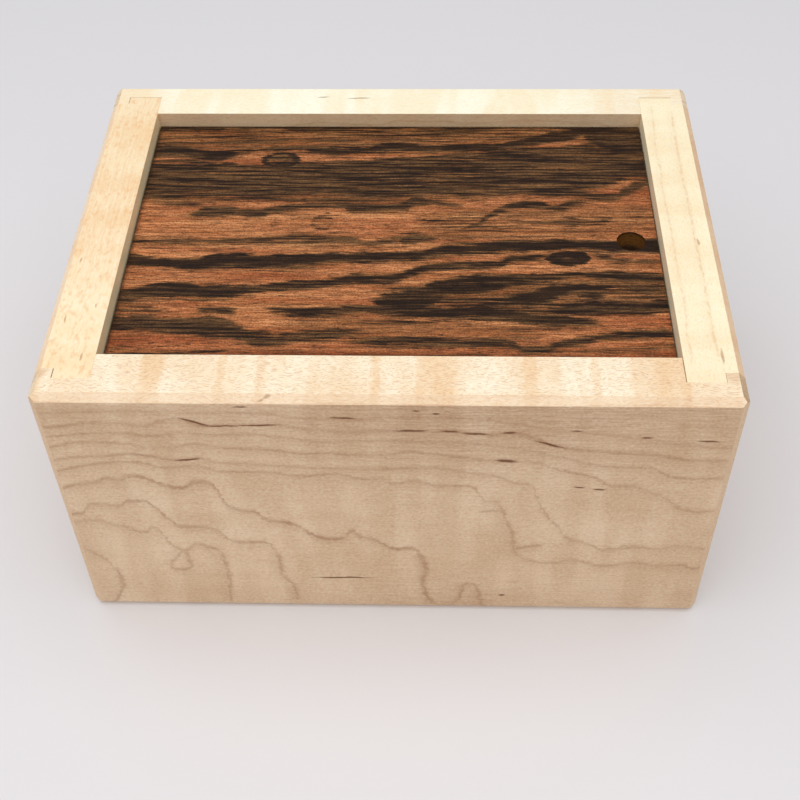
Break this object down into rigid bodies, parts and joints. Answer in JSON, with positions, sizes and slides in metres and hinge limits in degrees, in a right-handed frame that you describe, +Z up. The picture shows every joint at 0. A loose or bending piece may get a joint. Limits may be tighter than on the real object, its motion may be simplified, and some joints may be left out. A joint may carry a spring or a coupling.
{
  "type": "puzzle box",
  "caption": "Small wooden puzzle box with interlocked corner joints and a drop-in lid of striped hardwood, held by hidden sliding bolts worked with a pick through a hole.",
  "frame": {"origin": "middle of the base, on the surface the box stands on", "axes": "+X to the right along the width, +Y to the back, +Z up; the pick hole is on the +X side of the lid"},
  "size_m": [0.1134, 0.0848, 0.0588],
  "materials": {
    "maple": "oiled satin",
    "striped_hardwood": "oiled satin",
    "brass": "satin"
  },
  "bodies": {
    "case": {"front_wall": "maple", "back_wall": "maple", "left_wall": "maple", "right_wall": "maple", "bottom_panel": "maple", "front_ledger": "maple", "back_ledger": "maple", "left_ledgers": "maple", "right_ledgers": "maple"},
    "lid": {"lid_panel": "striped_hardwood", "left_guide": "maple", "right_guide": "maple", "guide_screws": "brass", "pivot_bush": "brass", "pivot_washer": "brass", "pivot_screw": "brass"},
    "rotor": {"rotor_disc": "maple", "drive_pins": "brass"},
    "left_bolt_body": {"left_bolt": "maple"},
    "right_bolt_body": {"right_bolt": "maple"}
  },
  "joints": [
    {"name": "lid_lift", "type": "slide", "parent": "case", "child": "lid", "axis": [0, 0, 1], "range_m": [0, 0.045]},
    {"name": "rotor_turn", "type": "hinge", "parent": "lid", "child": "rotor", "pos_m": [0, -0.0014, 0.0425], "axis": [0, 0, 1], "range_deg": [0, 16.28]},
    {"name": "right_bolt_slide", "type": "slide", "parent": "lid", "child": "right_bolt_body", "axis": [1, 0, 0], "range_m": [0, 0.0034]},
    {"name": "left_bolt_slide", "type": "slide", "parent": "lid", "child": "left_bolt_body", "axis": [-1, 0, 0], "range_m": [0, 0.0034]}
  ],
  "couplings": [
    {"joint": "right_bolt_slide", "follows": "rotor_turn", "m_per_rad": 0.01196},
    {"joint": "left_bolt_slide", "follows": "rotor_turn", "m_per_rad": 0.01196}
  ]
}
